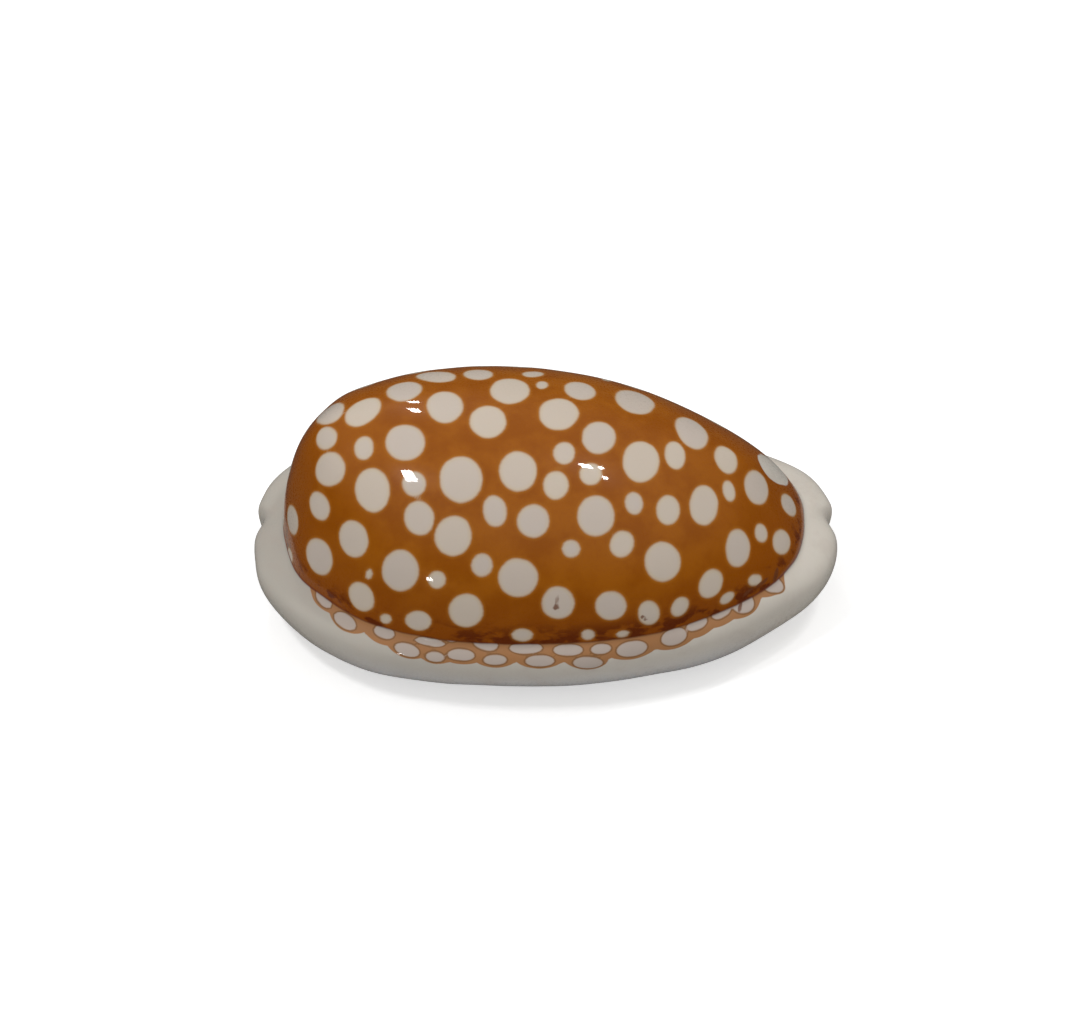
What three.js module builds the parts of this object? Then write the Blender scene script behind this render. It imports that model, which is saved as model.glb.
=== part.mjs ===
// A sieve cowrie shell, lying on its base with the mouth down. It grew as one piece: a pear-shaped
// dome that stands on a thick collar of callus, with a long toothed mouth underneath that opens
// into the hollow of the last whorl and runs out through a short canal at each end.
//
// Millimetres. +X points to the front end, where the dome tapers, +Z up to the crest of the dome,
// and -Y to the side of the outer lip. The origin is on the surface that the shell rests on,
// under the middle of its outline.
//
// The solid is a loft of closed rings that all go round from the front canal over the side of the
// inner lip to the back canal, and home over the side of the outer lip. The first ring lies folded
// together along the roof of the hollow. From there the rings come down the wall of the hollow,
// turn round the lips, spread over the base to the edge of the collar, and climb the dome to its
// crest, where the last ring folds together again. A line that crosses all the rings is called a
// spoke here.

import * as THREE from 'three';
import { LoftGeometry } from 'three/addons/geometries/LoftGeometry.js';
import { mergeVertices } from 'three/addons/utils/BufferGeometryUtils.js';

const OUTER_LIP = -1;
const INNER_LIP = 1;

// The collar's edge in plan, as [x, y]. Both outlines start at the front canal, reach the back
// canal halfway, and have their points at matching places.
const COLLAR = [
  [12.95, 1.45], [12.75, 2.7], [11.9, 4.25], [10.2, 5.4], [7.9, 6.35], [5.0, 7.1], [1.7, 7.6],
  [-1.8, 7.74], [-5.2, 7.45], [-8.4, 6.65], [-10.8, 5.4], [-12.2, 4.0], [-12.8, 2.65],
  [-12.95, 1.4], [-12.95, -0.6], [-12.55, -2.6], [-10.95, -4.8], [-8.4, -6.6], [-5.2, -7.45],
  [-1.8, -7.74], [1.6, -7.6], [4.8, -6.9], [7.7, -5.9], [10.25, -4.15], [12.15, -2.5], [12.95, -0.6],
];

// The crease in plan, where the dome stands on the collar.
const CREASE = [
  [11.5, 0.5], [11.35, 1.9], [10.65, 3.1], [9.3, 4.25], [7.3, 5.35], [4.6, 6.45], [1.6, 7.1],
  [-1.8, 7.3], [-5.0, 7.0], [-7.8, 6.1], [-9.7, 4.85], [-10.8, 3.4], [-11.45, 1.75],
  [-11.65, 0.4], [-11.5, -0.95], [-10.95, -2.85], [-9.9, -4.15], [-7.9, -5.8], [-5.0, -6.85],
  [-1.8, -7.2], [1.5, -7.1], [4.6, -6.6], [7.3, -5.45], [9.6, -3.9], [10.85, -2.35], [11.35, -0.95],
];

// Heights of the collar.
const COLLAR_Z = 2.9;
const COLLAR_Z_AT_TIPS = 3.1;
const CREASE_Z = 4.05;
const CREASE_TURN = 62;
const BASE_LIFT_AT_TIPS = 0.9;
const BASE_ARCH = 0.1;
const BASE_ARCH_END_X = 5;

// The dome. Its crest runs along a ridge, a shortened copy of the crease's middle line. From there
// it falls to the crease in a curve that is fuller at the back and leaner at the front.
const HEIGHT = 11.2;
const RIDGE_SHARE = 0.7;
const CREST_X = -3.2;
const CREST_BACK_END_X = -17;
const CREST_FRONT_END_X = 12.5;
const FALL_AT_SIDES = [2, 2];
const FALL_AT_BACK = [3.5, 1.7];
const FALL_AT_FRONT = [2.2, 1.6];
const DOME_TURNS = [9, 28, 44, 58, 73, 90];

// The mouth, between the two lips.
const MOUTH_Y = -1.0;
const MOUTH_BEND = 2.4;
const MOUTH_END_X = 12.35;
const MOUTH_HALF_BACK = 0.34;
const MOUTH_HALF_FRONT = 0.52;
const MOUTH_END_ROUNDING = 0.8;
const LIP_ROLL = 1.3;
const LIP_EDGE_Z = 1.2;
const TOOTH_RUN = 0.7;
const REST_STRIP = 0.9;

// The canals that carry the mouth out through both ends of the collar.
const CANAL_STEPS = 5;
const CANAL_ROOF_Z = 2.7;
const CANAL_DENT = 0.38;

// The teeth of both lips.
const TEETH = 16;
const STEPS_PER_TOOTH = 4;
const TOOTHLESS_STEPS = 6;
const STEPS = TEETH * STEPS_PER_TOOTH + 2 * TOOTHLESS_STEPS;
const GROOVE_DEPTH = { [OUTER_LIP]: 0.42, [INNER_LIP]: 0.34 };
const GROOVE_SHIFT = { [OUTER_LIP]: 0, [INNER_LIP]: 0.5 };

// The hollow, a smaller copy of the dome that stands on the lips.
const HOLLOW_SCALE = new THREE.Vector3(0.863, 0.826, 0.9);
const HOLLOW_TURNS = [90, 69, 49, 29, 14];
const HOLLOW_CORNER = 1.2;
const FLOOR_Z = 2.3;
const SPRING_Z = 3.5;

const lerp = THREE.MathUtils.lerp;
const smooth = THREE.MathUtils.smoothstep;
const cos = (turn) => Math.cos(THREE.MathUtils.degToRad(turn));
const sin = (turn) => Math.sin(THREE.MathUtils.degToRad(turn));

function closedCurve(points) {
  const corners = points.map(([x, y]) => new THREE.Vector3(x, y, 0));
  return new THREE.CatmullRomCurve3(corners, true, 'catmullrom', 0.5);
}

const collarCurve = closedCurve(COLLAR);
const creaseCurve = closedCurve(CREASE);

// One arm of an egg outline: 1 at its middle and 0 at its end.
function egg(x, middle, end, p, q) {
  const t = Math.min(1, Math.abs((x - middle) / (end - middle)));
  return Math.pow(1 - Math.pow(t, p), 1 / q);
}

// 0 along the middle of the shell and 1 at its tips.
function towardsTips(x) {
  return smooth(Math.abs(x), 6.5, 12.5);
}

// The edge of a lip in plan, halfway round its roll.
function lipEdge(step, side) {
  const x = lerp(MOUTH_END_X, -MOUTH_END_X, step / STEPS);
  const fromEnd = Math.min(1, (MOUTH_END_X - Math.abs(x)) / MOUTH_END_ROUNDING);
  const widest = lerp(MOUTH_HALF_BACK, MOUTH_HALF_FRONT, smooth(x, -4, 8));
  const half = widest * Math.sqrt(1 - (1 - fromEnd) ** 2);
  const middle = MOUTH_Y + MOUTH_BEND * Math.pow(Math.abs(x) / MOUTH_END_X, 2.3);
  return new THREE.Vector3(x, middle + side * half, 0);
}

// How deep the groove between two teeth is cut.
function grooveDepth(step, side) {
  const turn = 360 * ((step - TOOTHLESS_STEPS) / STEPS_PER_TOOTH + GROOVE_SHIFT[side]);
  const fromEnd = Math.min(step, STEPS - step) - TOOTHLESS_STEPS;
  const fade = smooth(fromEnd, -STEPS_PER_TOOTH, STEPS_PER_TOOTH);
  return GROOVE_DEPTH[side] * (0.5 - 0.5 * cos(turn)) * fade;
}

// Where spoke number k passes the lip, the collar's edge, the crease and the ridge, in plan.
function spokeAt(k) {
  const side = k <= STEPS ? INNER_LIP : OUTER_LIP;
  const step = k <= STEPS ? k : 2 * STEPS - k;
  const canal = 1 - smooth(Math.min(step, STEPS - step), 0, CANAL_STEPS);
  const collar = collarCurve.getPoint(k / (2 * STEPS));
  collar.x -= Math.sign(collar.x) * CANAL_DENT * canal * canal;
  const innerCrease = creaseCurve.getPoint(step / (2 * STEPS));
  const outerCrease = creaseCurve.getPoint((1 - step / (2 * STEPS)) % 1);
  const ridge = innerCrease.clone().lerp(outerCrease, 0.5);
  ridge.x *= RIDGE_SHARE;
  return {
    canal,
    collar,
    ridge,
    cut: grooveDepth(step, side),
    lip: lipEdge(step, side),
    crease: side === INNER_LIP ? innerCrease : outerCrease,
  };
}

// The lowest height of the underside at a point in plan. Along the middle it arches a little, so
// each lip stands on two places. Towards a canal it rises to the roof.
function lowest(point, canal) {
  const arch = BASE_ARCH * Math.max(0, 1 - (point.x / BASE_ARCH_END_X) ** 2);
  return lerp(arch + BASE_LIFT_AT_TIPS * towardsTips(point.x), CANAL_ROOF_Z, canal);
}

function collarZ(collar, canal) {
  return lerp(COLLAR_Z, COLLAR_Z_AT_TIPS, Math.max(towardsTips(collar.x), canal));
}

function between(from, to, share, z) {
  return from.clone().lerp(to, share).setZ(z);
}

// The dome along a spoke. A turn of 0 is at the crease and a turn of 90 at the ridge.
function dome({ ridge, crease }, turns) {
  const heading = (crease.x - ridge.x) / ridge.distanceTo(crease);
  const fallAtEnd = heading < 0 ? FALL_AT_BACK : FALL_AT_FRONT;
  const [p, q] = FALL_AT_SIDES.map((value, i) => lerp(value, fallAtEnd[i], heading * heading));
  return turns.map((turn) => {
    const along = turn === 90 ? 0 : cos(turn);
    const point = ridge.clone().lerp(crease, along);
    const crest = point.x < CREST_X
      ? egg(point.x, CREST_X, CREST_BACK_END_X, 2, 2)
      : egg(point.x, CREST_X, CREST_FRONT_END_X, 2, 1.4);
    const fall = Math.pow(1 - Math.pow(along, p), 1 / q);
    return point.setZ(CREASE_Z + (HEIGHT - CREASE_Z) * crest * fall);
  });
}

// The hollow, from its roof down its wall and round to the inside of the lip.
function hollow(spoke) {
  const { lip, crease, canal, cut } = spoke;
  const roof = dome(spoke, HOLLOW_TURNS).map((point) => {
    point.z -= CREASE_Z;
    point.multiply(HOLLOW_SCALE);
    return point.setZ(point.z + SPRING_Z);
  });
  const wall = crease.clone().multiply(HOLLOW_SCALE);
  const floorZ = lerp(FLOOR_Z, CANAL_ROOF_Z + 0.2, canal);
  const reach = lip.distanceTo(wall);
  const roll = Math.min(LIP_ROLL, reach * 0.5);
  const radius = Math.min(HOLLOW_CORNER, (reach - roll) * 0.5);
  const corner = [90, 60, 30, 0].map((turn) => {
    const along = reach - radius * (1 - sin(turn));
    return between(lip, wall, along / reach, lerp(SPRING_Z, floorZ, cos(turn)));
  });
  const edgeZ = lowest(lip, canal) + LIP_EDGE_Z * (1 - canal);
  const lipInside = [90, 45, 12].map((turn) => {
    const along = roll * (1 - cos(turn)) + cut * cos(turn);
    return between(lip, wall, along / reach, lerp(edgeZ, floorZ, sin(turn)));
  });
  return [...roof, ...corner, ...lipInside];
}

// The base, from the edge of the lip over its teeth and the rest strip to the collar's edge.
function base({ lip, collar, canal, cut }) {
  const reach = lip.distanceTo(collar);
  const roll = Math.min(LIP_ROLL, reach * 0.28);
  const run = roll + Math.min(TOOTH_RUN, reach * 0.14);
  const strip = run + Math.min(REST_STRIP, reach * 0.14);
  const rise = LIP_EDGE_Z * (1 - canal);
  const lipOutside = [
    [cut, rise],
    [roll * 0.29 + cut * 0.7, rise * 0.29 + cut * 0.7],
    [roll, cut * 0.4],
    [run, 0],
    [strip, 0],
  ].map(([along, lift]) => {
    const point = lip.clone().lerp(collar, along / reach);
    return point.setZ(lowest(point, canal) + lift);
  });
  const stripEnd = lipOutside.at(-1);
  const edgeZ = collarZ(collar, canal);
  const under = [42, 66, 90].map((turn) => between(stripEnd, collar, sin(turn), lerp(edgeZ, stripEnd.z, cos(turn))));
  return [...lipOutside, ...under];
}

// The top of the collar, from its edge to the crease.
function collarTop({ collar, crease, canal }) {
  return [0.5, 1].map((part) => {
    const turn = CREASE_TURN * part;
    const along = (1 - cos(turn)) / (1 - cos(CREASE_TURN));
    return between(collar, crease, along, lerp(collarZ(collar, canal), CREASE_Z, sin(turn) / sin(CREASE_TURN)));
  });
}

function section(k) {
  const spoke = spokeAt(k);
  return [...hollow(spoke), ...base(spoke), ...collarTop(spoke), ...dome(spoke, DOME_TURNS)];
}

// Leaves out the triangles that have shrunk to nothing where a folded ring ends.
function withoutEmptyTriangles(geometry) {
  const corners = geometry.index.array;
  const kept = [];
  for (let i = 0; i < corners.length; i += 3) {
    const [a, b, c] = corners.slice(i, i + 3);
    if (a !== b && b !== c && c !== a) {
      kept.push(a, b, c);
    }
  }
  geometry.setIndex(kept);
  return geometry;
}

function shellGeometry() {
  const sections = Array.from({ length: 2 * STEPS }, (_, k) => section(k));
  const rings = sections[0].map((_, i) => sections.map((points) => points[i]));
  const loft = new THREE.BufferGeometry().copy(new LoftGeometry(rings, { closed: true }));
  loft.deleteAttribute('uv');
  loft.deleteAttribute('normal');
  const geometry = withoutEmptyTriangles(mergeVertices(loft, 1e-3));
  geometry.computeVertexNormals();
  return geometry;
}

const shellMaterial = new THREE.MeshStandardMaterial({ color: 0xb9782f, roughness: 0.15, metalness: 0 });

const cowrie = new THREE.Group();
cowrie.name = 'cowrie';
const shell = new THREE.Mesh(shellGeometry(), shellMaterial);
shell.name = 'shell';
cowrie.add(shell);

export default cowrie;
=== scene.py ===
# %% [markdown]
# This script dresses a sieve cowrie, a small glossy sea shell that lies on its base with its mouth
# down. The living animal covers its shell with two skirts of skin and polishes it from outside, so
# there is one closed skin to model: a pear-shaped dome, a thick white collar round it, and a
# toothed mouth below. The looks are in that skin's markings and in its gloss.

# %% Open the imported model
import math

import bpy
import numpy as np
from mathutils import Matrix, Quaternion, Vector, noise
from mathutils.bvhtree import BVHTree
from mathutils.kdtree import KDTree


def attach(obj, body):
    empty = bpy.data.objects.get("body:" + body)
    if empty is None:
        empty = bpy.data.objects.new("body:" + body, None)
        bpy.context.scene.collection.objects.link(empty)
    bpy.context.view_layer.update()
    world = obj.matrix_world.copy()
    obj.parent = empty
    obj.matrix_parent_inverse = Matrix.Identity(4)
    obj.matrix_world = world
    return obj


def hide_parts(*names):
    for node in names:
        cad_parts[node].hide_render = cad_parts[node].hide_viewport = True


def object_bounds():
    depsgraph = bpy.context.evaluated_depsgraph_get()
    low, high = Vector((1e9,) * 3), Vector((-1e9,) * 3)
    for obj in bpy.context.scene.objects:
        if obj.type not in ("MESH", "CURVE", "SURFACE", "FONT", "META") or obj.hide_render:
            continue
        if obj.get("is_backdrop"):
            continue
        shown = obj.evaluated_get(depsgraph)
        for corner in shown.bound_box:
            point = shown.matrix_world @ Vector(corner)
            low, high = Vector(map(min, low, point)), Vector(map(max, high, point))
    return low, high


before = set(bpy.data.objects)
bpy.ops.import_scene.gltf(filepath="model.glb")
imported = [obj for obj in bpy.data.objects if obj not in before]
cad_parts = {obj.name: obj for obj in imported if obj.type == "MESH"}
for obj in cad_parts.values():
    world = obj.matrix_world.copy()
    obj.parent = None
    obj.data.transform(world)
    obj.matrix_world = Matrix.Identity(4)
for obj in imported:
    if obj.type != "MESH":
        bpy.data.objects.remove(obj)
cad_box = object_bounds()
MM = 0.001
print("The packed shell in mm:", [[round(value / MM, 2) for value in corner] for corner in cad_box])

# %% [markdown]
# The camera comes first, because the markings are placed with its help further down. It looks at
# the shell from 45 degrees above and square to its length, from so far off that the view is nearly
# parallel, as in a close photograph with a long lens. One millimetre at the origin is 22.3 pixels.

# %% Stand the camera where the photograph was taken
PHOTO_WIDTH = 1080
PHOTO_HEIGHT = 1017
ORIGIN_IN_PHOTO = (545.5, 592)
PIXELS_PER_MM = 22.3
CAMERA_DISTANCE = 260 * MM
CAMERA_ELEVATION = math.radians(45)
SENSOR = 36
NEAREST_SEEN = 10 * MM

RIGHT = Vector((1, 0, 0))
UP = Vector((0, math.sin(CAMERA_ELEVATION), math.cos(CAMERA_ELEVATION)))
BACK = RIGHT.cross(UP)
PIXELS_PER_SLOPE = PIXELS_PER_MM * CAMERA_DISTANCE / MM

across = (PHOTO_WIDTH / 2 - ORIGIN_IN_PHOTO[0]) / PIXELS_PER_MM * MM
upwards = (ORIGIN_IN_PHOTO[1] - PHOTO_HEIGHT / 2) / PIXELS_PER_MM * MM
camera_place = across * RIGHT + upwards * UP + CAMERA_DISTANCE * BACK

bpy.ops.object.select_all(action="DESELECT")
bpy.ops.object.camera_add(location=camera_place, rotation=(math.pi / 2 - CAMERA_ELEVATION, 0, 0))
camera = bpy.context.object
camera.name = "camera"
camera.data.sensor_width = SENSOR
camera.data.lens = SENSOR * PIXELS_PER_SLOPE / PHOTO_WIDTH
camera.data.clip_start = NEAREST_SEEN
bpy.context.scene.camera = camera
print("The lens is", round(camera.data.lens, 1), "mm")


# %% [markdown]
# A pixel of the photograph stands for a line of sight, and a point of the shell for a pixel. These
# two helpers go between them.

# %% Go between pixels and the shell
def line_of_sight(pixel):
    slope_right = (pixel[0] - PHOTO_WIDTH / 2) / PIXELS_PER_SLOPE
    slope_up = (PHOTO_HEIGHT / 2 - pixel[1]) / PIXELS_PER_SLOPE
    return (slope_right * RIGHT + slope_up * UP - BACK).normalized()


def pixel_of(point):
    away = point - camera_place
    depth = -away.dot(BACK)
    return Vector((
        PHOTO_WIDTH / 2 + PIXELS_PER_SLOPE * away.dot(RIGHT) / depth,
        PHOTO_HEIGHT / 2 - PIXELS_PER_SLOPE * away.dot(UP) / depth,
    ))


print("The origin is seen at", [round(value, 1) for value in pixel_of(Vector((0, 0, 0)))])

# %% [markdown]
# The shell's form is set by two outlines seen from above: the edge of the collar, and the crease
# where the dome stands on it. Both start at the front canal, where the animal's siphon leaves the
# shell, pass the back canal halfway and have their points at matching places. A smooth curve runs
# through each. The values are the ones of the solid, in millimetres.

# %% Draw the collar and the crease in plan
COLLAR = [
    (12.95, 1.45), (12.75, 2.7), (11.9, 4.25), (10.2, 5.4), (7.9, 6.35), (5.0, 7.1), (1.7, 7.6),
    (-1.8, 7.74), (-5.2, 7.45), (-8.4, 6.65), (-10.8, 5.4), (-12.2, 4.0), (-12.8, 2.65),
    (-12.95, 1.4), (-12.95, -0.6), (-12.55, -2.6), (-10.95, -4.8), (-8.4, -6.6), (-5.2, -7.45),
    (-1.8, -7.74), (1.6, -7.6), (4.8, -6.9), (7.7, -5.9), (10.25, -4.15), (12.15, -2.5), (12.95, -0.6),
]
CREASE = [
    (11.5, 0.5), (11.35, 1.9), (10.65, 3.1), (9.3, 4.25), (7.3, 5.35), (4.6, 6.45), (1.6, 7.1),
    (-1.8, 7.3), (-5.0, 7.0), (-7.8, 6.1), (-9.7, 4.85), (-10.8, 3.4), (-11.45, 1.75),
    (-11.65, 0.4), (-11.5, -0.95), (-10.95, -2.85), (-9.9, -4.15), (-7.9, -5.8), (-5.0, -6.85),
    (-1.8, -7.2), (1.5, -7.1), (4.6, -6.6), (7.3, -5.45), (9.6, -3.9), (10.85, -2.35), (11.35, -0.95),
]


def on_curve(corners, share):
    place = share * len(corners)
    whole = math.floor(place)
    part = place - whole
    before, start, end, after = (Vector(corners[(whole + i) % len(corners)]) for i in (-1, 0, 1, 2))
    leave = (end - before) / 2
    arrive = (after - start) / 2
    bend = 3 * (end - start) - 2 * leave - arrive
    twist = 2 * (start - end) + leave + arrive
    return (start + part * (leave + part * (bend + part * twist))).to_3d()


print("The collar is", COLLAR[0][0] - COLLAR[14][0], "mm long in plan")

# %% [markdown]
# A line that climbs from the mouth over the base and the collar to the ridge of the dome is called
# a spoke here. Each tooth of the lips takes four spokes: the groove beside it is cut deepest on the
# last. The subdivision further down smooths a third of a groove away, so grooves are cut half as
# deep again as in the solid.

# %% Find where a spoke passes the lip, the collar, the crease and the ridge
OUTER_LIP = -1
INNER_LIP = 1
TEETH = 16
STEPS_PER_TOOTH = 4
TOOTHLESS_STEPS = 6
STEPS = TEETH * STEPS_PER_TOOTH + 2 * TOOTHLESS_STEPS
SPOKES = 2 * STEPS
GROOVE_EXTRA = 1.5
GROOVE_DEPTH = {OUTER_LIP: 0.42 * GROOVE_EXTRA, INNER_LIP: 0.34 * GROOVE_EXTRA}
GROOVE_SHIFT = {OUTER_LIP: 0, INNER_LIP: 0.5}

MOUTH_Y = -1.0
MOUTH_BEND = 2.4
MOUTH_BEND_POWER = 2.3
MOUTH_END_X = 12.35
MOUTH_HALF_BACK = 0.34
MOUTH_HALF_FRONT = 0.52
MOUTH_WIDENS = (-4, 8)
MOUTH_END_ROUNDING = 0.8
CANAL_STEPS = 5
CANAL_DENT = 0.38
RIDGE_SHARE = 0.7


def lerp(start, end, share):
    return start + (end - start) * share


def smooth(value, low, high):
    share = min(1, max(0, (value - low) / (high - low)))
    return share * share * (3 - 2 * share)


def lip_edge(step, side):
    x = lerp(MOUTH_END_X, -MOUTH_END_X, step / STEPS)
    from_end = min(1, (MOUTH_END_X - abs(x)) / MOUTH_END_ROUNDING)
    widest = lerp(MOUTH_HALF_BACK, MOUTH_HALF_FRONT, smooth(x, *MOUTH_WIDENS))
    half = widest * math.sqrt(1 - (1 - from_end) ** 2)
    middle = MOUTH_Y + MOUTH_BEND * (abs(x) / MOUTH_END_X) ** MOUTH_BEND_POWER
    return Vector((x, middle + side * half, 0))


def groove_depth(step, side):
    turn = math.tau * ((step - TOOTHLESS_STEPS) / STEPS_PER_TOOTH + GROOVE_SHIFT[side])
    from_end = min(step, STEPS - step) - TOOTHLESS_STEPS
    fade = smooth(from_end, -STEPS_PER_TOOTH, STEPS_PER_TOOTH)
    return GROOVE_DEPTH[side] * (0.5 - 0.5 * math.cos(turn)) * fade


class Spoke:
    def __init__(self, number):
        side = INNER_LIP if number <= STEPS else OUTER_LIP
        step = number if number <= STEPS else SPOKES - number
        inner_crease = on_curve(CREASE, step / SPOKES)
        outer_crease = on_curve(CREASE, (1 - step / SPOKES) % 1)
        self.canal = 1 - smooth(min(step, STEPS - step), 0, CANAL_STEPS)
        self.collar = on_curve(COLLAR, number / SPOKES)
        self.collar.x -= math.copysign(CANAL_DENT, self.collar.x) * self.canal ** 2
        self.crease = inner_crease if side == INNER_LIP else outer_crease
        self.ridge = (inner_crease + outer_crease) / 2
        self.ridge.x *= RIDGE_SHARE
        self.lip = lip_edge(step, side)
        self.cut = groove_depth(step, side)


deepest = max(Spoke(number).cut for number in range(SPOKES))
print("There are", SPOKES, "spokes, and grooves up to", deepest, "mm deep")

# %% [markdown]
# Seen from the side, the dome's crest follows one arm of an egg to each end, and from the ridge it
# falls to the crease in a curve that is fuller at the back and leaner at the front. The hollow
# inside is a smaller copy of the same dome. Each function below returns the points of its stretch
# of a spoke. The steps are finer than in the solid, where the number of faces is limited.

# %% Shape the dome, the hollow, the base and the collar along a spoke
COLLAR_Z = 2.9
COLLAR_Z_AT_TIPS = 3.1
CREASE_Z = 4.05
CREASE_TURN = 62
BASE_LIFT_AT_TIPS = 0.9
BASE_ARCH = 0.1
BASE_ARCH_END_X = 5
CANAL_ROOF_Z = 2.7
HEIGHT = 11.2
CREST_X = -3.2
CREST_BACK = (-17, 2.0)
CREST_FRONT = (12.5, 1.4)
FALL_AT_SIDES = (2, 2)
FALL_AT_BACK = (3.5, 1.7)
FALL_AT_FRONT = (2.2, 1.6)
TIPS = (6.5, 12.5)
LIP_ROLL = 1.3
LIP_ROLL_SHARE = 0.28
LIP_EDGE_Z = 1.2
TOOTH_RUN = 0.7
REST_STRIP = 0.9
STRIP_SHARE = 0.14
HOLLOW_SCALE = (0.863, 0.826, 0.9)
HOLLOW_CORNER = 1.2
FLOOR_Z = 2.3
SPRING_Z = 3.5

HOLLOW_TURNS = (90, 69, 49, 29, 14)
CORNER_TURNS = (90, 60, 30, 0)
LIP_TURNS = (90, 45, 12)
UNDER_TURNS = (30, 50, 70, 90)
COLLAR_TOP_PARTS = (1 / 3, 2 / 3, 1)
DOME_TURNS = [7.5 * i for i in range(1, 13)]


def cos(turn):
    return math.cos(math.radians(turn))


def sin(turn):
    return math.sin(math.radians(turn))


def towards_tips(x):
    return smooth(abs(x), *TIPS)


def lowest(x, canal):
    arch = BASE_ARCH * max(0, 1 - (x / BASE_ARCH_END_X) ** 2)
    return lerp(arch + BASE_LIFT_AT_TIPS * towards_tips(x), CANAL_ROOF_Z, canal)


def collar_z(spoke):
    return lerp(COLLAR_Z, COLLAR_Z_AT_TIPS, max(towards_tips(spoke.collar.x), spoke.canal))


def between(start, end, share, z):
    point = start.lerp(end, share)
    return Vector((point.x, point.y, z))


def crest(x):
    end, fullness = CREST_BACK if x < CREST_X else CREST_FRONT
    t = min(1, (x - CREST_X) / (end - CREST_X))
    return (1 - t * t) ** (1 / fullness)


def dome(spoke, turns):
    heading = (spoke.crease.x - spoke.ridge.x) / (spoke.crease - spoke.ridge).length
    fall_at_end = FALL_AT_BACK if heading < 0 else FALL_AT_FRONT
    p, q = (lerp(side, end, heading ** 2) for side, end in zip(FALL_AT_SIDES, fall_at_end))
    for turn in turns:
        along = 0 if turn == 90 else cos(turn)
        point = spoke.ridge.lerp(spoke.crease, along)
        fall = (1 - along ** p) ** (1 / q)
        yield Vector((point.x, point.y, CREASE_Z + (HEIGHT - CREASE_Z) * crest(point.x) * fall))


def hollow(spoke):
    for point in dome(spoke, HOLLOW_TURNS):
        z = SPRING_Z + (point.z - CREASE_Z) * HOLLOW_SCALE[2]
        yield Vector((point.x * HOLLOW_SCALE[0], point.y * HOLLOW_SCALE[1], z))
    wall = Vector((spoke.crease.x * HOLLOW_SCALE[0], spoke.crease.y * HOLLOW_SCALE[1], 0))
    floor_z = lerp(FLOOR_Z, CANAL_ROOF_Z + 0.2, spoke.canal)
    reach = (wall - spoke.lip).length
    roll = min(LIP_ROLL, reach * 0.5)
    radius = min(HOLLOW_CORNER, (reach - roll) * 0.5)
    for turn in CORNER_TURNS:
        along = reach - radius * (1 - sin(turn))
        yield between(spoke.lip, wall, along / reach, lerp(SPRING_Z, floor_z, cos(turn)))
    edge_z = lowest(spoke.lip.x, spoke.canal) + LIP_EDGE_Z * (1 - spoke.canal)
    for turn in LIP_TURNS:
        along = roll * (1 - cos(turn)) + spoke.cut * cos(turn)
        yield between(spoke.lip, wall, along / reach, lerp(edge_z, floor_z, sin(turn)))


def base(spoke):
    reach = (spoke.collar - spoke.lip).length
    roll = min(LIP_ROLL, reach * LIP_ROLL_SHARE)
    run = roll + min(TOOTH_RUN, reach * STRIP_SHARE)
    strip = run + min(REST_STRIP, reach * STRIP_SHARE)
    rise = LIP_EDGE_Z * (1 - spoke.canal)
    lip_outside = (
        (spoke.cut, rise),
        (roll * 0.29 + spoke.cut * 0.7, rise * 0.29 + spoke.cut * 0.7),
        (roll, spoke.cut * 0.4),
        (run, 0),
        (strip, 0),
    )
    for along, lift in lip_outside:
        point = spoke.lip.lerp(spoke.collar, along / reach)
        point.z = lowest(point.x, spoke.canal) + lift
        yield point
    for turn in UNDER_TURNS:
        yield between(point, spoke.collar, sin(turn), lerp(collar_z(spoke), point.z, cos(turn)))


def collar_top(spoke):
    for part in COLLAR_TOP_PARTS:
        turn = CREASE_TURN * part
        along = (1 - cos(turn)) / (1 - cos(CREASE_TURN))
        z = lerp(collar_z(spoke), CREASE_Z, sin(turn) / sin(CREASE_TURN))
        yield between(spoke.collar, spoke.crease, along, z)


def section(number):
    spoke = Spoke(number % SPOKES)
    return [*hollow(spoke), *base(spoke), *collar_top(spoke), *dome(spoke, DOME_TURNS)]


RINGS = len(section(0))
CREASE_RING = RINGS - len(DOME_TURNS) - 1
LIP_RING = len(HOLLOW_TURNS) + len(CORNER_TURNS) + len(LIP_TURNS) - 1
print("A spoke has", RINGS, "points, and the crease is number", CREASE_RING)

# %% [markdown]
# A grown skin has no flat face to extrude from, so the start is a flat grid, with a column for each
# spoke and a row for each ring. It is wrapped round like a sheet of dough: each of its points moves
# to its place on its spoke. On the way each point also learns its climb, the distance in
# millimetres up its spoke from the crease, which is negative on the collar and the base, and how
# deep it lies inside the mouth. The colours need both later.

# %% Wrap a grid round the shell
bpy.ops.object.select_all(action="DESELECT")
bpy.ops.mesh.primitive_grid_add(x_subdivisions=SPOKES, y_subdivisions=RINGS - 1, size=1)
shell = bpy.context.object
shell.name = "spotted_shell"
shell.data.name = "spotted_shell"

sections = [section(number) for number in range(SPOKES + 1)]
climb = shell.data.attributes.new("climb", "FLOAT", "POINT")
depth = shell.data.attributes.new("depth_in_mouth", "FLOAT", "POINT")
for vertex in shell.data.vertices:
    column = round((vertex.co.x + 0.5) * SPOKES)
    row = round((vertex.co.y + 0.5) * (RINGS - 1))
    points = sections[column]
    steps = [(after - before).length for before, after in zip(points, points[1:])]
    climb.data[vertex.index].value = sum(steps[CREASE_RING:row]) - sum(steps[row:CREASE_RING])
    depth.data[vertex.index].value = sum(steps[row:LIP_RING])
    vertex.co = points[row] * MM
print("The sheet has", len(shell.data.vertices), "points")

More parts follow.
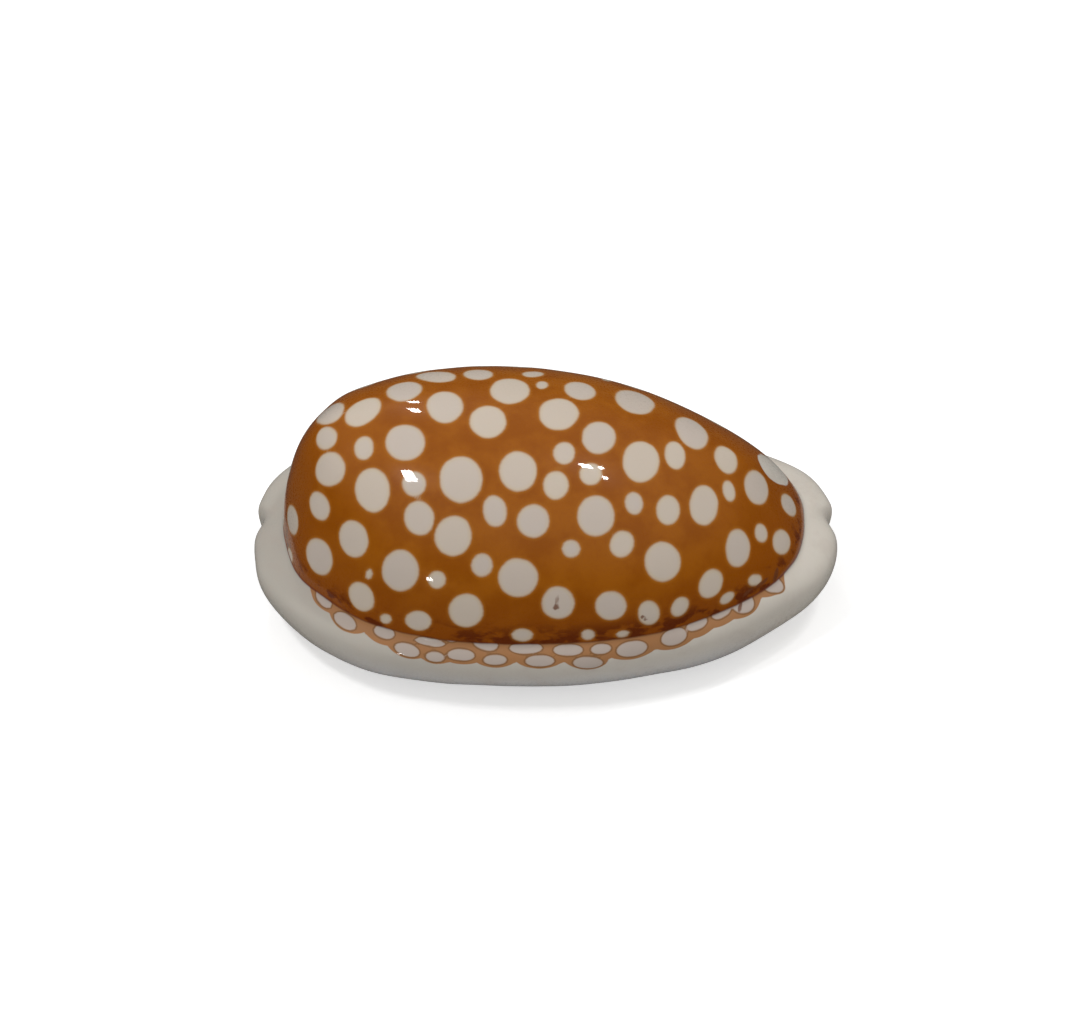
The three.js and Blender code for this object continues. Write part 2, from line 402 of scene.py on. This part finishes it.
# %% [markdown]
# The first and last columns now meet, and so do the two halves of the folded rings along the ridge
# and along the roof of the hollow. Merging closes these seams. The points that crowd together at
# each end of a folded ring become one, or the subdivision would tuck the skin in there. The crease
# gets a little edge crease so that the subdivision rounds it, but not away. Very low lumps, a few
# hundredths of a millimetre, then make the skin as uneven as a grown one.

# %% Close the seams and round the skin
SEAM = 0.03 * MM
CREASE_SHARPNESS = 0.5
SUBDIVISIONS = 2
LUMP_LENGTH = 2.2
LUMP_HEIGHT = 0.035

bpy.ops.object.mode_set(mode="EDIT")
bpy.ops.mesh.select_all(action="SELECT")
bpy.ops.mesh.remove_doubles(threshold=SEAM)
bpy.ops.mesh.normals_make_consistent(inside=False)
bpy.ops.mesh.select_all(action="DESELECT")
bpy.ops.object.mode_set(mode="OBJECT")

at_crease = [value.value == 0 for value in shell.data.attributes["climb"].data]
sharpness = shell.data.attributes.new("crease_edge", "FLOAT", "EDGE")
for edge in shell.data.edges:
    if all(at_crease[i] for i in edge.vertices):
        sharpness.data[edge.index].value = CREASE_SHARPNESS

subdivision = shell.modifiers.new("round", "SUBSURF")
subdivision.levels = SUBDIVISIONS
subdivision.render_levels = SUBDIVISIONS
bpy.ops.object.modifier_apply(modifier=subdivision.name)
bpy.ops.object.shade_smooth()

lumpy_places = [
    vertex.co + vertex.normal * (noise.noise(vertex.co / MM / LUMP_LENGTH) * LUMP_HEIGHT * MM)
    for vertex in shell.data.vertices
]
shell.data.vertices.foreach_set("co", np.array(lumpy_places, dtype=np.float32).ravel())
shell.data.update()
shell.data.attributes.remove(shell.data.attributes["crease_edge"])
print("The shell has", sum(len(face.vertices) - 2 for face in shell.data.polygons), "triangles")

# %% [markdown]
# The spots are lighter windows in the brown glaze. They could be a noise pattern, but the eye
# notices at once that a shell's spots are round, of many sizes and never overlap. So each spot is
# an ellipse that lies on the surface. For each point of the mesh the distance to the nearest
# ellipse's edge is stored in an attribute, negative inside, and the material turns it into a soft
# rim of any width.
#
# First the mesh is read into arrays, and a search tree is built for the lines of sight.

# %% Read the finished surface
mesh = shell.data
count = len(mesh.vertices)
places = np.empty(count * 3)
mesh.vertices.foreach_get("co", places)
places = places.reshape(-1, 3) / MM
normals = np.empty(count * 3)
mesh.vertex_normals.foreach_get("vector", normals)
normals = normals.reshape(-1, 3)
climbs = np.empty(count)
mesh.attributes["climb"].data.foreach_get("value", climbs)
surface = BVHTree.FromObject(shell, bpy.context.evaluated_depsgraph_get())
print("Climb runs from", round(climbs.min(), 1), "to", round(climbs.max(), 1), "mm")


def seen_at(pixel):
    place, normal, _, _ = surface.ray_cast(camera_place, line_of_sight(pixel))
    return place, normal


# %% [markdown]
# A spot of the photograph is given by its middle, width and height in pixels, and by how far it is
# turned clockwise. Its middle goes down the line of sight to the shell. A small step each way on the
# surface there tells how the slanting surface squeezes the view, and undoing that gives the spot's
# true shape on the shell. Near the skyline a pixel stands for a long stretch of the shell, so a
# round spot's length is kept within one and a half times its width.

# %% Lay an ellipse of the photograph on the shell
LONGEST_SPOT = 1.3
LONGEST_TO_SHORTEST = 1.5
PROBE_STEP = 0.1


class Spot:
    def __init__(self, middle, normal, along, half_sizes, own_axes=((1, 0), (0, 1))):
        self.middle = np.array(middle)
        self.normal = np.array(normal)
        across = np.cross(self.normal, along)
        across /= np.linalg.norm(across)
        self.axes = np.array([np.cross(across, self.normal), across])
        own_axes = np.array(own_axes, dtype=float)
        self.stretch = own_axes @ np.diag([1 / size for size in half_sizes]) @ own_axes.T
        self.reach = max(half_sizes)

    def distance(self, points, directions):
        away = points - self.middle
        chord = np.linalg.norm(away, axis=1) + 1e-9
        flat = away @ self.axes.T
        flat *= (chord / (np.linalg.norm(flat, axis=1) + 1e-9))[:, None]
        shares = np.linalg.norm(flat @ self.stretch, axis=1) + 1e-9
        result = chord * (1 - 1 / shares)
        result[directions @ self.normal < 0] = np.inf
        return result


def spot_seen(x, y, width, height, turn=0, may_be_slender=False):
    place, normal = seen_at((x, y))
    along = RIGHT - normal * normal.dot(RIGHT)
    along.normalize()
    across = normal.cross(along)
    start = pixel_of(place)
    steps = [pixel_of(place + axis * PROBE_STEP * MM) - start for axis in (along, across)]
    squeeze = np.array(steps).T / PROBE_STEP
    angle = math.radians(turn)
    turned = np.array([[math.cos(angle), math.sin(angle)], [-math.sin(angle), math.cos(angle)]])
    in_view = np.diag([2 / width, 2 / height]) @ turned @ squeeze
    strengths, own_axes = np.linalg.eigh(in_view.T @ in_view)
    sizes = 1 / np.sqrt(strengths)
    sizes = np.minimum(sizes, LONGEST_SPOT)
    if not may_be_slender:
        sizes = np.minimum(sizes, sizes.min() * LONGEST_TO_SHORTEST)
    return Spot(np.array(place) / MM, normal, along, sizes, own_axes)


# %% [markdown]
# These are the spots of the dome that the photograph shows, from the ridge down to the crease and
# from left to right in each band: middle x and y, width, height and turn.

# %% Place the spots of the dome that the photograph shows
DOME_SPOTS_SEEN = [
    # along the skyline
    (329, 412, 34, 16, -32), (436, 376, 42, 11), (478, 374, 32, 11), (533, 374, 24, 6),
    (606, 380, 14, 5),
    # upper bands
    (404, 390, 38, 20, -8), (445, 406, 39, 33), (363, 411, 42, 25, -30), (510, 390, 42, 27),
    (542, 385, 14, 9), (559, 413, 42, 33), (580, 390, 34, 18, 12), (635, 401, 43, 25, 17),
    (488, 421, 39, 34), (599, 437, 36, 34), (564, 453, 24, 24), (692, 431, 42, 26, 45),
    (326, 438, 22, 26, 25), (364, 448, 21, 26, 10), (405, 442, 42, 38), (329, 469, 32, 37, 10),
    (641, 461, 39, 43, -5), (675, 455, 22, 30, -15), (726, 459, 22, 32, -28),
    # middle bands
    (372, 490, 37, 46, -5), (414, 484, 26, 27), (461, 479, 45, 49), (518, 471, 40, 42),
    (556, 485, 28, 31), (591, 474, 25, 24), (757, 487, 24, 37, -15), (729, 491, 14, 23, -15),
    (319, 506, 21, 32, -20), (419, 518, 32, 37, -10), (495, 511, 26, 34, -10), (533, 521, 35, 36),
    (596, 516, 40, 43), (634, 503, 20, 25, -10), (668, 510, 26, 32), (704, 505, 30, 42),
    (789, 505, 13, 26, -25), (292, 520, 11, 32, -5), (353, 539, 30, 40, -15), (453, 536, 39, 43, 10),
    # lower bands
    (319, 557, 27, 40, -18), (290, 555, 9, 18, -20), (400, 571, 39, 44, -5), (437, 580, 20, 20),
    (482, 565, 24, 26), (518, 578, 42, 41), (571, 549, 21, 20), (622, 544, 26, 30, 20),
    (663, 562, 38, 42), (738, 548, 26, 40), (761, 533, 14, 21, -10), (782, 542, 19, 27, -5),
    (361, 597, 25, 34, -30), (466, 611, 37, 35), (558, 603, 35, 35), (611, 606, 34, 31),
    (649, 613, 24, 26, 15), (680, 607, 17, 24, 40), (711, 584, 24, 33, 25), (418, 621, 29, 21, 8),
    (369, 574, 9, 12, 10), (386, 619, 14, 11, 20), (522, 635, 24, 14), (588, 635, 16, 12),
    (623, 634, 22, 8, -5), (727, 598, 19, 11, -38), (755, 580, 16, 13, -30),
]
dome_spots = [spot_seen(*numbers) for numbers in DOME_SPOTS_SEEN]
longest = 2 * max(spot.reach for spot in dome_spots)
print(len(dome_spots), "spots, the largest", round(longest, 2), "mm long")

# %% [markdown]
# The far side has spots of the same kind and sizes. They are thrown on to it one at a time, large
# ones first, and each stays only where it clears its neighbours and the part that the camera sees.
# The same seed gives the same shell each time. A spot is a little longer round the shell's girth
# than along its length, as on the near side.

# %% Throw spots on the dome's far side
SPOT_SIZES = [1.0] * 9 + [0.86] * 14 + [0.72] * 18 + [0.58] * 24 + [0.44] * 30
SPOT_GAP = 0.17
GIRTH_STRETCH = 1.1
THROWS = 260
SIDEWAYS = 0.1
MAY_PEEP_OUT = 0.1

random = np.random.default_rng(11)
areas = np.empty(len(mesh.polygons))
mesh.polygons.foreach_get("area", areas)
corner_of_face = np.empty(len(mesh.polygons), dtype=int)
mesh.polygons.foreach_get("loop_start", corner_of_face)
vertex_of_corner = np.empty(len(mesh.loops), dtype=int)
mesh.loops.foreach_get("vertex_index", vertex_of_corner)
first_vertex = vertex_of_corner[corner_of_face]

to_camera = np.array(camera_place) / MM - places
to_camera /= np.linalg.norm(to_camera, axis=1)[:, None]
facing = (normals * to_camera).sum(axis=1)
seen_points = places[(facing > SIDEWAYS) & (climbs > 0)]
in_view = KDTree(len(seen_points))
for i, point in enumerate(seen_points):
    in_view.insert(point, i)
in_view.balance()


def clear_of(spots, middle, size):
    gaps = [np.linalg.norm(spot.middle - middle) - spot.reach - size for spot in spots]
    return min(gaps, default=1) > SPOT_GAP


def throw_spots(weights, sizes, known, shape):
    thrown = []
    likely = weights / weights.sum()
    for size in sizes:
        for vertex in random.choice(first_vertex, THROWS, p=likely):
            middle = places[vertex]
            reach = size * max(shape)
            off_view = in_view.find(middle)[2] > reach * (1 - MAY_PEEP_OUT)
            if off_view and clear_of(known + thrown, middle, reach):
                half_sizes = [size * stretch for stretch in shape]
                thrown.append(Spot(middle, normals[vertex], (1, 0, 0), half_sizes))
                break
    return thrown


on_far_dome = areas * ((facing < SIDEWAYS) & (climbs > 0.5))[first_vertex]
far_dome_spots = throw_spots(on_far_dome, SPOT_SIZES, dome_spots, (1, GIRTH_STRETCH))
print(len(far_dome_spots), "more spots on the far side")

# %% [markdown]
# Below the crease the brown glaze thins out over the collar. The spots go on there, squeezed flat,
# until only a net of pinkish brown lines is left between them, which ends in scallops on the white
# callus. The band of net is widest beside the belly and runs out towards both tips. The near side's
# spots follow the photograph, and the far side gets two rows that follow the crease.

# %% Place the flattened spots of the collar
BAND_WIDTH = 1.2
BAND_END_X = 11.8
BAND_FULLNESS = 4
BAND_SPOTS_SEEN = [
    (324, 599, 12, 22, -35), (345, 621, 26, 14, 35), (384, 632, 22, 13, 20), (407, 650, 27, 13, 18),
    (430, 642, 31, 8, 10), (435, 657, 20, 11, 8), (452, 639, 14, 6, 0), (461, 655, 28, 12, 3),
    (485, 643, 27, 12, 12), (495, 660, 24, 11, 0), (526, 648, 34, 12, 0), (540, 661, 30, 12, 0),
    (568, 650, 30, 12, 0), (588, 663, 31, 12, 0), (601, 649, 21, 11, -5), (632, 649, 32, 16, -10),
    (674, 637, 27, 17, -20), (697, 624, 23, 12, -25), (722, 611, 24, 10, -32), (743, 603, 23, 16, -38),
    (772, 584, 18, 15, -40),
]
band_spots = [spot_seen(*numbers, may_be_slender=True) for numbers in BAND_SPOTS_SEEN]

BAND_ROWS = ((0.3, 0.26), (0.8, 0.25))
BAND_ROW_START = (-10, -9)
BAND_ROW_END = 9.5
BAND_SPOT_LENGTH = (0.42, 0.78)
BAND_SPOT_FLATTEST = 0.45
BAND_SPOT_GAP = 0.14


def band_width(x):
    return BAND_WIDTH * max(0, 1 - abs(x / BAND_END_X) ** BAND_FULLNESS)


far_collar = np.nonzero((places[:, 1] > 0) & (climbs < 0) & (climbs > -2))[0]
for depth_share, half_height in BAND_ROWS:
    x = random.uniform(*BAND_ROW_START)
    while x < BAND_ROW_END:
        half_length = random.uniform(*BAND_SPOT_LENGTH)
        x += half_length
        depth = band_width(x) * depth_share
        misses = np.abs(places[far_collar, 0] - x) + np.abs(climbs[far_collar] + depth)
        vertex = far_collar[misses.argmin()]
        along = np.cross((0, 0, 1), normals[vertex])
        height = half_height * lerp(BAND_SPOT_FLATTEST, 1, band_width(x) / BAND_WIDTH)
        band_spots.append(Spot(places[vertex], normals[vertex], along, (half_length, height)))
        x += half_length + BAND_SPOT_GAP
print(len(band_spots), "flattened spots on the collar")


# %% [markdown]
# A few marks are single. At the front end the callus has climbed on to the dome in a white patch.
# Dark flecks lie in two spots near the crease, and thin dark lines cross the net at the front. They
# are ellipses of the same kind.

# %% Place the single marks
PATCHES_SEEN = [(774, 469, 46, 16, 40)]
FLECKS_SEEN = [
    (557, 600, 4, 13, 5), (556, 608, 7, 4, 0), (644, 618, 9, 4, 35),
    (776, 575, 4, 16, 15), (762, 583, 18, 3, -38), (748, 592, 16, 3, -42), (740, 607, 4, 12, 10),
]
patches = [spot_seen(*numbers, may_be_slender=True) for numbers in PATCHES_SEEN]
flecks = [spot_seen(*numbers, may_be_slender=True) for numbers in FLECKS_SEEN]
print(len(patches) + len(flecks), "single marks")

# %% [markdown]
# Each point now takes the distance to the nearest spot, and a random shade that its spot has all
# over, because no two spots are quite the same white.

# %% Store the distances on the mesh
FAR = 2.0


def nearest(spots, chosen):
    distance = np.full(count, FAR)
    owner = np.zeros(count, dtype=int)
    for number, spot in enumerate(spots):
        near = chosen & (np.abs(places - spot.middle) < spot.reach + 1).all(axis=1)
        found = spot.distance(places[near], normals[near])
        closer = found < distance[near]
        spots_points = np.nonzero(near)[0][closer]
        distance[spots_points] = found[closer]
        owner[spots_points] = number
    return distance, owner


def store(name, values):
    attribute = mesh.attributes.new(name, "FLOAT", "POINT")
    attribute.data.foreach_set("value", values.astype(np.float32))


all_dome_spots = dome_spots + far_dome_spots
spot_distance, spot_owner = nearest(all_dome_spots, climbs > -0.6)
band_distance, _ = nearest(band_spots, climbs < 0.5)
store("spot_distance", spot_distance)
store("band_distance", band_distance)
store("spot_shade", random.uniform(0, 1, len(all_dome_spots))[spot_owner])
store("patch_distance", nearest(patches, climbs > -2)[0])
store("fleck_distance", nearest(flecks, climbs > -3)[0])
spotted = (spot_distance < 0) & (climbs > 0)
print("Spots cover", round(100 * spotted.sum() / (climbs > 0).sum()), "% of the dome's points")

# %% [markdown]
# A material is a sum on values, such as 1 - mask. Blender does sums with Math nodes, and a small
# class lets Python's own signs build them. The second class holds the material, adds any other kind
# of node, and has short names for the few that are used again and again.

# %% Write shader sums as Python
class Value:
    def __init__(self, recipe, output):
        self.recipe = recipe
        self.output = output

    def sum_with(self, operation, *terms):
        return self.recipe.add("ShaderNodeMath", {"operation": operation}, dict(enumerate(terms)))

    def __add__(self, other):
        return self.sum_with("ADD", self, other)

    def __sub__(self, other):
        return self.sum_with("SUBTRACT", self, other)

    def __mul__(self, other):
        return self.sum_with("MULTIPLY", self, other)

    def __truediv__(self, other):
        return self.sum_with("DIVIDE", self, other)

    def __pow__(self, other):
        return self.sum_with("POWER", self, other)

    def __rsub__(self, other):
        return self.sum_with("SUBTRACT", other, self)

    __radd__ = __add__
    __rmul__ = __mul__

    def __abs__(self):
        return self.sum_with("ABSOLUTE", self)

    def at_least(self, other):
        return self.sum_with("MAXIMUM", self, other)


class Recipe:
    def __init__(self, tree):
        self.tree = tree

    def add(self, kind, settings=None, inputs=None, output=0):
        node = self.tree.nodes.new(kind)
        for name, value in (settings or {}).items():
            setattr(node, name, value)
        for name, value in (inputs or {}).items():
            if isinstance(value, Value):
                self.tree.links.new(value.output, node.inputs[name])
            else:
                node.inputs[name].default_value = value
        return Value(self, node.outputs[output]) if node.outputs else node

    def attribute(self, name):
        return self.add("ShaderNodeAttribute", {"attribute_name": name}, output="Fac")

    def rise(self, value, low, high):
        ends = {"Value": value, "From Min": low, "From Max": high}
        return self.add("ShaderNodeMapRange", {"interpolation_type": "SMOOTHSTEP"}, ends)

    def fall(self, value, low, high):
        return 1 - self.rise(value, low, high)

    def mix(self, share, first, second):
        sides = {0: share, 6: first, 7: second}
        return self.add("ShaderNodeMix", {"data_type": "RGBA"}, sides, output=2)

    def noise(self, place, scale, detail=2.0, roughness=0.5):
        sizes = {"Vector": place, "Scale": scale, "Detail": detail, "Roughness": roughness}
        return self.add("ShaderNodeTexNoise", None, sizes)


print("The helpers for materials are ready")

# %% [markdown]
# The photograph's colours are display colours, so a helper turns them into the linear ones that
# Blender mixes. Each is named for what it colours.

# %% Name the shell's colours
def colour(red, green, blue):
    linear = [(part / 255 / 12.92) if part < 11 else ((part / 255 + 0.055) / 1.055) ** 2.4
              for part in (red, green, blue)]
    return (*linear, 1)


GLAZE = colour(163, 92, 10)
GLAZE_DEEP = colour(150, 80, 2)
# Darker glaze, used for the fine grain and for the painted shade low on the dome towards the crease.
GLAZE_DARK_GRAIN_AND_LOW_SHADE = colour(142, 70, 2)
GLAZE_ENDS = colour(150, 78, 0)
HALO = colour(184, 122, 40)
BLOTCH = colour(96, 34, 4)
SPOT_WARM = colour(209, 195, 179)
SPOT_COOL = colour(203, 190, 179)
SPOT_RIM = colour(205, 180, 138)
# The callus with painted light: dimmer at the back end, lighter at the front end.
CALLUS_PAINTED_DIM_BACK = colour(196, 190, 180)
CALLUS_PAINTED_LIT_FRONT = colour(216, 209, 198)
CALLUS_LOW = colour(206, 204, 203)
NET = colour(176, 126, 84)
NET_LINE = colour(118, 88, 56)
BAND_SPOT = colour(196, 182, 172)
# Painted shade in the crease under the dome: purplish at the ends, dark in the middle.
CREASE_SHADE_PAINT_AT_ENDS = colour(118, 58, 46)
CREASE_SHADE_PAINT = colour(84, 42, 18)
FLECK = colour(112, 62, 34)
THROAT = colour(190, 176, 156)
print("The glaze in linear light is", [round(part, 3) for part in GLAZE[:3]])

# %% [markdown]
# The finish is built like the real one, from below. The dome has the brown glaze with its
# mottling, painted shade that darkens it low down towards the crease, the darker stains near the
# crease, and the spots with a warm rim. Every border wobbles a little with a fine noise, since
# nothing that grew has a drawn edge. All sizes are millimetres.

# %% Mix the glaze, the spots and the callus
finish = bpy.data.materials.new("cowrie_enamel")
finish.use_nodes = True
finish.node_tree.nodes.clear()
enamel = Recipe(finish.node_tree)

metres = enamel.add("ShaderNodeTexCoord", output="Object")
place = enamel.add("ShaderNodeVectorMath", {"operation": "SCALE"}, {0: metres, "Scale": 1 / MM})
place_x = enamel.add("ShaderNodeSeparateXYZ", None, {0: place}, output="X")
height = enamel.attribute("climb")
from_spot = enamel.attribute("spot_distance")
from_band_spot = enamel.attribute("band_distance")
shade = enamel.attribute("spot_shade")

wobble = (enamel.noise(place, 1.3) - 0.5) * 0.1
grain = enamel.noise(place, 9, 4, 0.6)
mottle = enamel.noise(place, 0.55, 3, 0.6)
towards_ends = enamel.rise(abs(place_x), 6, 11)

glaze = enamel.mix(enamel.rise(mottle, 0.35, 0.65), GLAZE, GLAZE_DEEP)
# Painted shade: the glaze darkens low on the dome, towards the crease.
glaze = enamel.mix(enamel.fall(height, 0.2, 3.5) * 0.75, glaze, GLAZE_DARK_GRAIN_AND_LOW_SHADE)
glaze = enamel.mix(towards_ends * 0.7, glaze, GLAZE_ENDS)
glaze = enamel.mix(enamel.rise(grain, 0.45, 0.75) * 0.25, glaze, GLAZE_DARK_GRAIN_AND_LOW_SHADE)

streaks = enamel.add("ShaderNodeVectorMath", {"operation": "MULTIPLY"}, {0: place, 1: (0.6, 1.2, 1.2)})
stain_noise = enamel.noise(streaks, 1.2, 3, 0.55)
beside_belly = enamel.rise(place_x, -4.5, -1.5) * enamel.fall(place_x, 4, 8)
stains = enamel.rise(stain_noise + beside_belly * 0.14, 0.52, 0.64) * enamel.fall(height, 0.4, 1.5)
glaze = enamel.mix(stains * 0.85, glaze, BLOTCH)

spot_edge = from_spot + wobble
glaze = enamel.mix(enamel.fall(spot_edge, -0.05, 0.14) * 0.4, glaze, HALO)
spot = enamel.mix(shade, SPOT_WARM, SPOT_COOL)
spot = enamel.mix(enamel.rise(spot_edge, -0.26, -0.08) * 0.35, spot, SPOT_RIM)
dome_colour = enamel.mix(enamel.fall(spot_edge, -0.13, 0.02), glaze, spot)
print("The dome's part has", len(finish.node_tree.nodes), "nodes")

# %% [markdown]
# The collar is white callus, with painted light that makes it lighter towards the front end and
# dimmer at the back, greyer where it is low beside the belly and yellower deep in the mouth. The net
# fills the gaps between the flattened spots and thins to single rings at its lower edge. The glaze
# ends a little above the crease, in a dark line of painted shade in the crease that turns purplish
# at both ends, and the callus patch and the flecks lie over everything.

# %% Mix the collar and join it to the dome
BORDER_CLIMB = 0.1

from_middle = abs(place_x / BAND_END_X) ** BAND_FULLNESS
band = BAND_WIDTH * (1 - from_middle).at_least(0)
# Painted light: the callus grows lighter from the back end towards the front end.
callus = enamel.mix(enamel.rise(place_x, -9, 8), CALLUS_PAINTED_DIM_BACK, CALLUS_PAINTED_LIT_FRONT)
callus = enamel.mix(enamel.fall(height, -3, -1) * enamel.fall(abs(place_x), 7, 11), callus, CALLUS_LOW)
cloud = enamel.rise(enamel.noise(place, 0.9, 3, 0.6), 0.45, 0.7)
callus = enamel.mix(cloud * 0.25, callus, BAND_SPOT)
callus = enamel.mix(enamel.rise(enamel.attribute("depth_in_mouth"), 0, 2.5), callus, THROAT)
band_edge = from_band_spot + wobble * 0.7
reach = 0.07 + 0.45 * enamel.rise(height + band, 0, 0.8)
net = enamel.fall(band_edge - reach, -0.03, 0.05) * enamel.rise(band, 0.1, 0.35)
net_colour = enamel.mix(enamel.fall(abs(band_edge - 0.02), 0.01, 0.07) * 0.6, NET, NET_LINE)
collar_colour = enamel.mix(net, callus, net_colour)
collar_colour = enamel.mix(enamel.fall(band_edge, -0.07, 0.02), collar_colour, BAND_SPOT)

border = height - BORDER_CLIMB + wobble * 0.6
patch = enamel.fall(enamel.attribute("patch_distance") + wobble * 2, -0.04, 0.06)
above = enamel.rise(border, -0.05, 0.05) * (1 - patch)
surface_colour = enamel.mix(above, collar_colour, dome_colour)
# Painted shade: a dark line along the crease under the overhanging dome, stronger and purplish towards
# both ends.
crease_shade = enamel.fall(abs(border), 0.01, 0.1) * (0.45 + 0.4 * towards_ends) * (1 - patch)
crease_shade_colour = enamel.mix(towards_ends, CREASE_SHADE_PAINT, CREASE_SHADE_PAINT_AT_ENDS)
surface_colour = enamel.mix(crease_shade, surface_colour, crease_shade_colour)
fleck = enamel.fall(enamel.attribute("fleck_distance") + wobble * 0.5, -0.06, 0.04)
surface_colour = enamel.mix(fleck * 0.8, surface_colour, FLECK)

# %% [markdown]
# The gloss is a hard clear coat over a slightly softer body, as on glazed china. The bump is very
# shallow: it only breaks up the reflections a little. A trace of light passes through the skin.

# %% Give the skin its gloss
BUMP_DEPTH = 0.006 * MM
ripple = enamel.noise(place, 0.9, 2, 0.5) + 0.25 * enamel.noise(place, 5, 2, 0.5)
bump = enamel.add("ShaderNodeBump", None, {"Strength": 1.0, "Distance": BUMP_DEPTH, "Height": ripple})
skin = enamel.add("ShaderNodeBsdfPrincipled", None, {
    "Base Color": surface_colour,
    "Roughness": 0.22 + 0.12 * grain,
    "Normal": bump,
    "Specular IOR Level": 0.04,
    "Coat Weight": 0.45,
    "Coat Roughness": 0.035,
    "Coat IOR": 1.5,
    "Subsurface Weight": 0.04,
    "Subsurface Radius": (1.0, 0.55, 0.3),
    "Subsurface Scale": 0.4 * MM,
})
enamel.add("ShaderNodeOutputMaterial", None, {"Surface": skin})
shell.data.materials.clear()
shell.data.materials.append(finish)
print("The enamel has", len(finish.node_tree.nodes), "nodes")

# %% [markdown]
# The shell lies on a pale sheet. The sheet glows for the camera alone, so that it stays nearly white
# behind the shell, and it is dark in reflections, so that it lays no grey veil on the gloss.

# %% Lay the floor
FLOOR_SIZE = 3
FLOOR_SHADE = colour(226, 226, 226)
FLOOR_SHADE_IN_GLOSS = colour(70, 70, 70)
FLOOR_GLOW = 0.55

bpy.ops.object.select_all(action="DESELECT")
bpy.ops.mesh.primitive_plane_add(size=FLOOR_SIZE)
floor = bpy.context.object
floor.name = "floor"
sheet = bpy.data.materials.new("pale_sheet")
sheet.use_nodes = True
sheet.node_tree.nodes.clear()
paper = Recipe(sheet.node_tree)
for_camera = paper.add("ShaderNodeLightPath", output="Is Camera Ray")
for_gloss = paper.add("ShaderNodeLightPath", output="Is Glossy Ray")
matte = paper.add("ShaderNodeBsdfPrincipled", None, {
    "Base Color": paper.mix(for_gloss, FLOOR_SHADE, FLOOR_SHADE_IN_GLOSS),
    "Roughness": 0.9,
    "Specular IOR Level": 0.1,
    "Emission Color": (1, 1, 1, 1),
    "Emission Strength": for_camera * FLOOR_GLOW,
})
paper.add("ShaderNodeOutputMaterial", None, {"Surface": matte})
floor.data.materials.append(sheet)
floor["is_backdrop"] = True
print("The floor is", FLOOR_SIZE, "m wide")

# %% [markdown]
# The room gives soft light, strong from above and weak from the walls. The photograph also shows
# small bright glints from lamps. A glint sits where the surface mirrors a lamp to the camera, so
# each lamp is hung on the line of sight through its glint, mirrored by the shell's skin.

# %% Light the shell
ROOM_LIGHT = 0.10
ROOM_LIGHT_ABOVE = 0.55
LAMP_DISTANCE = 300 * MM

bpy.context.scene.view_settings.view_transform = "Standard"
world = bpy.data.worlds.new("room")
bpy.context.scene.world = world
world.use_nodes = True
world.node_tree.nodes.clear()
room = Recipe(world.node_tree)
heading = room.add("ShaderNodeTexCoord", output="Generated")
upward = room.add("ShaderNodeSeparateXYZ", None, {0: heading}, output="Z")
strength = ROOM_LIGHT + (ROOM_LIGHT_ABOVE - ROOM_LIGHT) * room.rise(upward, 0.15, 0.8)
glow = room.add("ShaderNodeBackground", None, {"Color": (1, 0.99, 0.97, 1), "Strength": strength})
room.add("ShaderNodeOutputWorld", None, {"Surface": glow})


def hang_lamp(name, glint, size, radiance, turn=0):
    place, normal = seen_at(glint)
    sight = line_of_sight(glint)
    away = (sight - 2 * sight.dot(normal) * normal).normalized()
    data = bpy.data.lights.new(name, "AREA")
    data.shape = "RECTANGLE"
    data.size = size[0] * MM
    data.size_y = size[1] * MM
    data.energy = radiance * math.pi * data.size * data.size_y
    lamp = bpy.data.objects.new(name, data)
    facing_shell = (-away).to_track_quat("-Z", "Y")
    lamp.rotation_euler = (facing_shell @ Quaternion((0, 0, 1), math.radians(turn))).to_euler()
    lamp.location = place + away * LAMP_DISTANCE
    bpy.context.collection.objects.link(lamp)
    return lamp


KEY_GLINT = (411, 474)
FAR_GLINT = (416, 411)
FARTHEST_GLINT = (413, 402)
LOW_GLINT = (428, 579)
hang_lamp("key_lamp", KEY_GLINT, (50, 24), 70, turn=-25)
hang_lamp("far_lamp", FAR_GLINT, (14, 22), 60)
hang_lamp("farthest_lamp", FARTHEST_GLINT, (10, 14), 45)
hang_lamp("low_lamp", LOW_GLINT, (12, 10), 60)

# middle x and y in pixels, width and height of the lamp in millimetres
SMALL_GLINTS = [
    (583, 466, 12, 8), (589, 464, 12, 6), (601, 470, 8, 12), (604, 479, 10, 10),
]
SMALL_LAMP_RADIANCE = 160
for number, (x, y, width, height_of_lamp) in enumerate(SMALL_GLINTS):
    hang_lamp(f"small_lamp_{number}", (x, y), (width, height_of_lamp), SMALL_LAMP_RADIANCE)
lamps = [item for item in bpy.data.objects if item.type == "LIGHT"]
lowest_lamp = min(lamp.location.z for lamp in lamps)
print(len(lamps), "lamps hang round the shell, the lowest", round(lowest_lamp / MM), "mm up")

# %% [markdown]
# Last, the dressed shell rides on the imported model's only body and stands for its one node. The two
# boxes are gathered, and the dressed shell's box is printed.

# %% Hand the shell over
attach(shell, "root")
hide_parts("shell")

dressed_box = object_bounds()
boxes = [[[float(value) for value in corner] for corner in box] for box in (cad_box, dressed_box)]
rounded_box = [[round(value / MM, 2) for value in corner] for corner in dressed_box]
print("The dressed shell in mm:", rounded_box)
